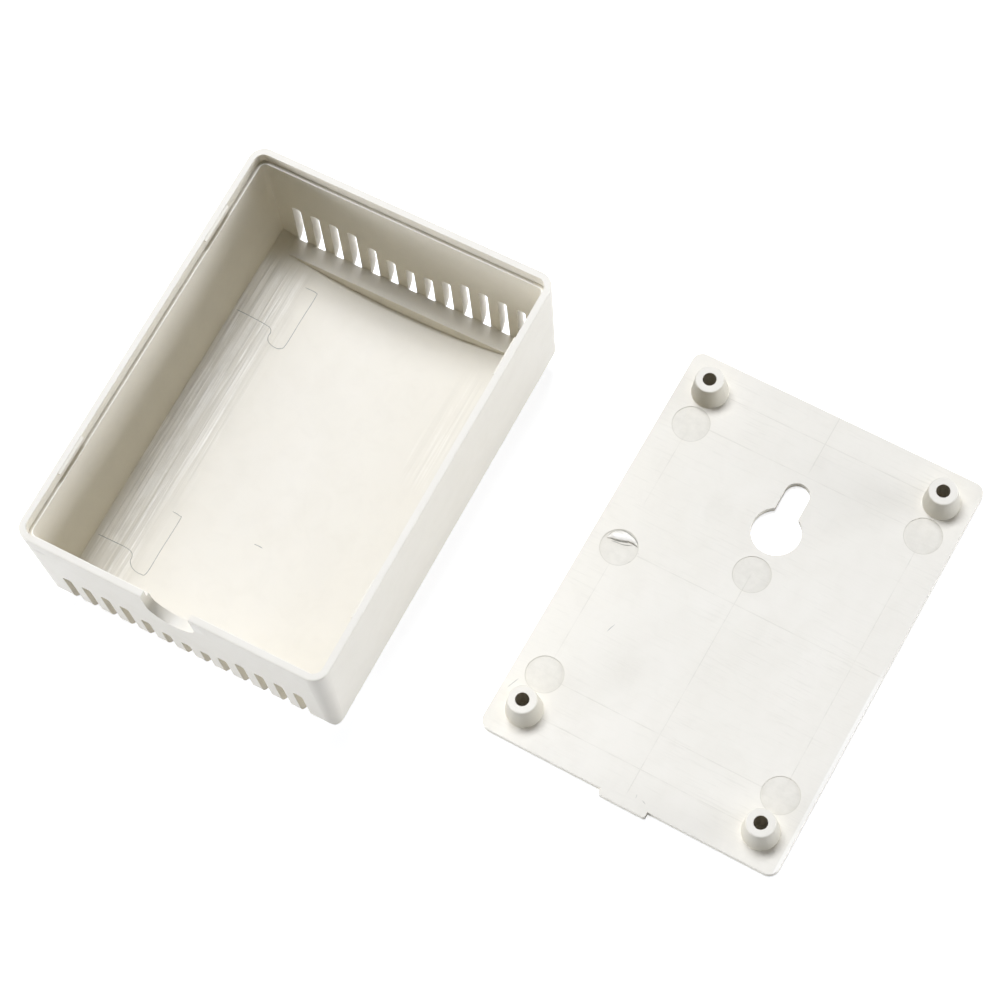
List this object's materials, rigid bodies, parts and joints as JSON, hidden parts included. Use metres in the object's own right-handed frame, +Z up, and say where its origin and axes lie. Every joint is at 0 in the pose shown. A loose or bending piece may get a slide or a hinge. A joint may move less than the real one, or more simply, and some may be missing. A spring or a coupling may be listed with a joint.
{
  "type": "plastic project box",
  "caption": "Snap-fit plastic enclosure: crowned shell with vented ends, and a back plate with board posts and a hanging keyhole.",
  "frame": {"origin": "centre of the back plate's flat back face, which lies on the ground", "axes": "+Z up, out of the open shell and along the board posts; +X from the shell towards the plate; +Y along the plate's long sides, from the closing tab towards the keyhole's narrow end"},
  "size_m": [0.1835, 0.1265, 0.042],
  "materials": {
    "ivory_plastic": "satin, lightly worn"
  },
  "bodies": {
    "root": {"case_shell": "ivory_plastic", "back_plate": "ivory_plastic"}
  },
  "joints": []
}
